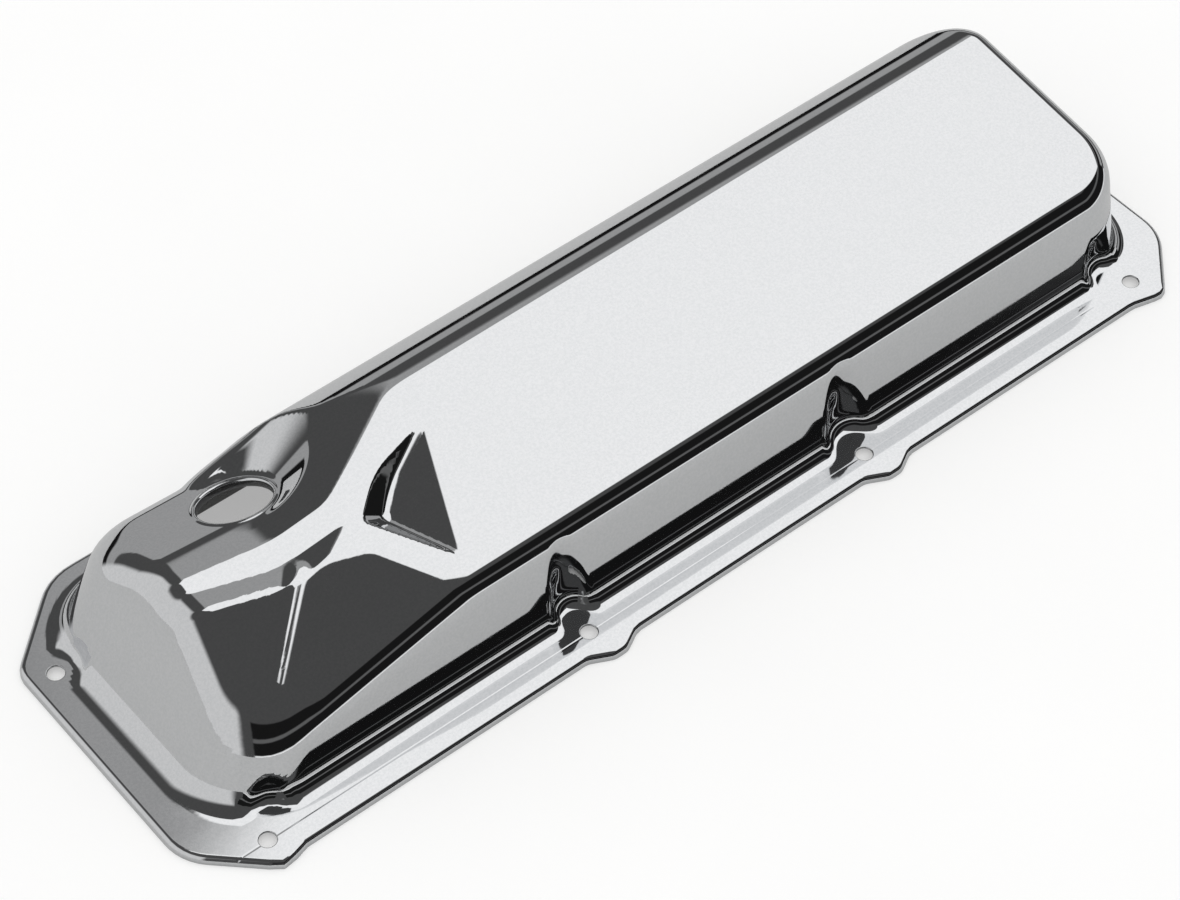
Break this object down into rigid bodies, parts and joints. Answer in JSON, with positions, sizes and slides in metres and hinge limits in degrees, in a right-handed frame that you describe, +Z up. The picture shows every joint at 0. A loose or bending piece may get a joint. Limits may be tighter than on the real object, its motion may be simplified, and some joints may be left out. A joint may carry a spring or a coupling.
{
  "type": "engine valve cover",
  "caption": "Chromed pressed-steel valve cover for one bank of a V8, with a flanged rim, bolt ears and pockets, sloped deck and a filler hole on a tilted seat.",
  "frame": {"origin": "middle of the cover's footprint, at the height of the turned-down lip it rests on", "axes": "+X along the long side towards the end away from the filler hole, +Y towards the high side, +Z up out of the engine"},
  "size_m": [0.5232, 0.1798, 0.064],
  "materials": {
    "chrome": "polished chrome plate"
  },
  "bodies": {
    "root": {"cover": "chrome"}
  },
  "joints": []
}
